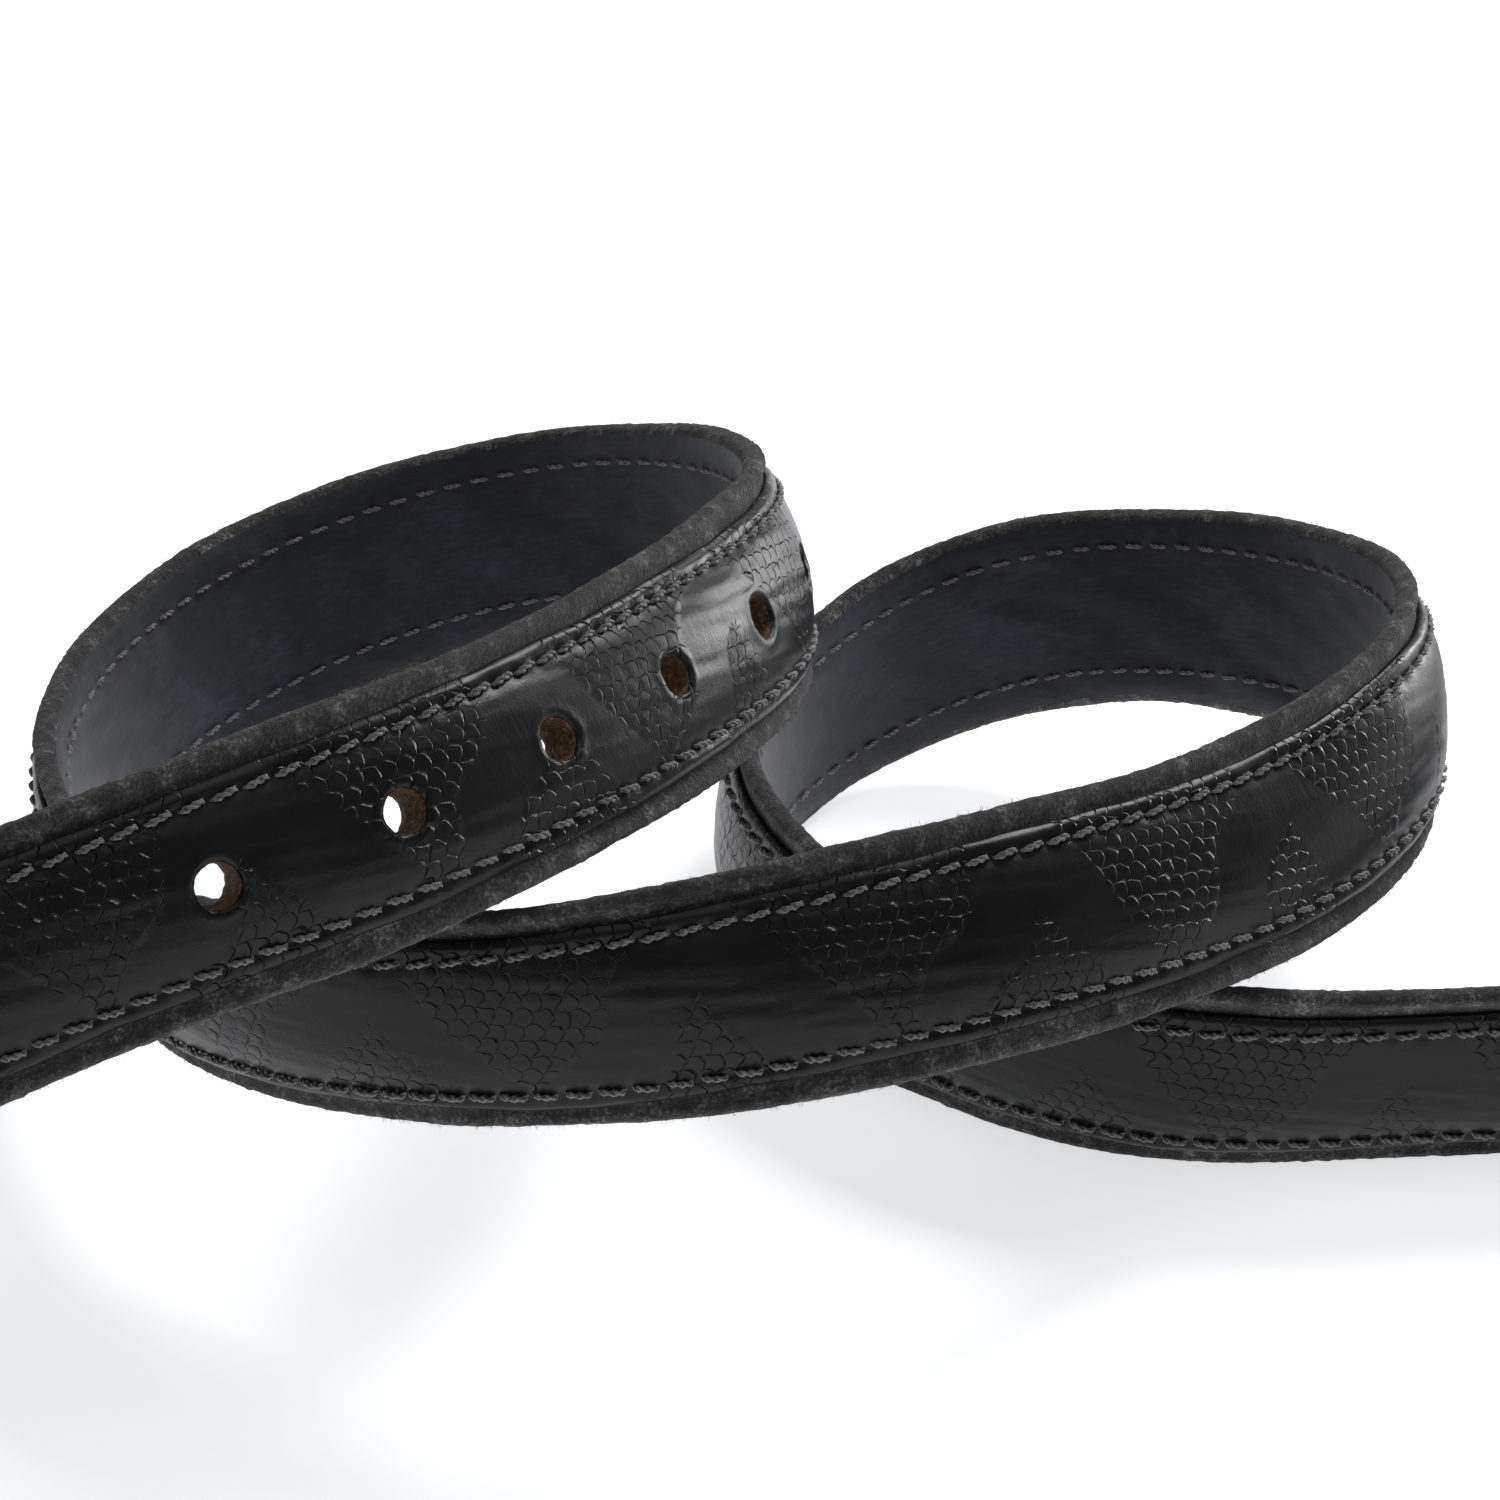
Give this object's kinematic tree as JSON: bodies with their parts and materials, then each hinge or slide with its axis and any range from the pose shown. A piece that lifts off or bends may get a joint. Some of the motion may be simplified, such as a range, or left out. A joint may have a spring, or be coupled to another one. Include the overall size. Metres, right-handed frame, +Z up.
{
  "type": "leather rein",
  "caption": "Padded black leather rein lying coiled on edge, with a punched billet at one end and a swivel bolt snap held by a turn-back at the other.",
  "frame": {"origin": "centre of the bounding box, on the floor the coil stands on", "axes": "+Z up across the strap's width, +Y along the straight end towards the snap, +X to the right of the coil seen from its front"},
  "size_m": [0.3119, 0.3375, 0.0921],
  "materials": {
    "backing_leather": "rough, matt, brushed on the inner side",
    "core_leather": "plain",
    "face_leather": "semi-gloss, embossed with small scales",
    "keeper_leather": "semi-gloss",
    "thread": "waxed, twisted",
    "plated_metal": "bright nickel plate",
    "spring_steel": "drawn wire"
  },
  "bodies": {
    "strap": {"billet_backing": "backing_leather", "rein_backing": "backing_leather", "padding_core": "core_leather", "face_strap": "face_leather", "face_stitch_upper": "thread", "face_stitch_lower": "thread", "back_stitch_upper": "thread", "back_stitch_lower": "thread", "binding_posts": "plated_metal", "binding_screws": "plated_metal"},
    "keeper": {"running_keeper": "keeper_leather", "keeper_stitches": "thread"},
    "eye": {"snap_eye": "plated_metal"},
    "hook": {"snap_hook": "plated_metal", "bolt_spring": "spring_steel"},
    "bolt": {"snap_bolt": "plated_metal", "thumb_stud": "plated_metal"}
  },
  "joints": [
    {"name": "keeper_slide", "type": "slide", "parent": "strap", "child": "keeper", "axis": [0, 1, 0], "range_m": [-0.0045, 0.0035]},
    {"name": "snap_tilt", "type": "hinge", "parent": "strap", "child": "eye", "pos_m": [0.147, 0.093, 0.015], "axis": [0, 0, 1], "range_deg": [-90, 90]},
    {"name": "snap_swivel", "type": "hinge", "parent": "eye", "child": "hook", "pos_m": [0.147, 0.112, 0.015], "axis": [0, 1, 0], "continuous": true},
    {"name": "bolt_slide", "type": "slide", "parent": "hook", "child": "bolt", "axis": [0, -1, 0], "range_m": [0, 0.011], "stiffness_N_per_m": 300, "springref_m": -0.005, "deforming": ["bolt_spring"]}
  ]
}
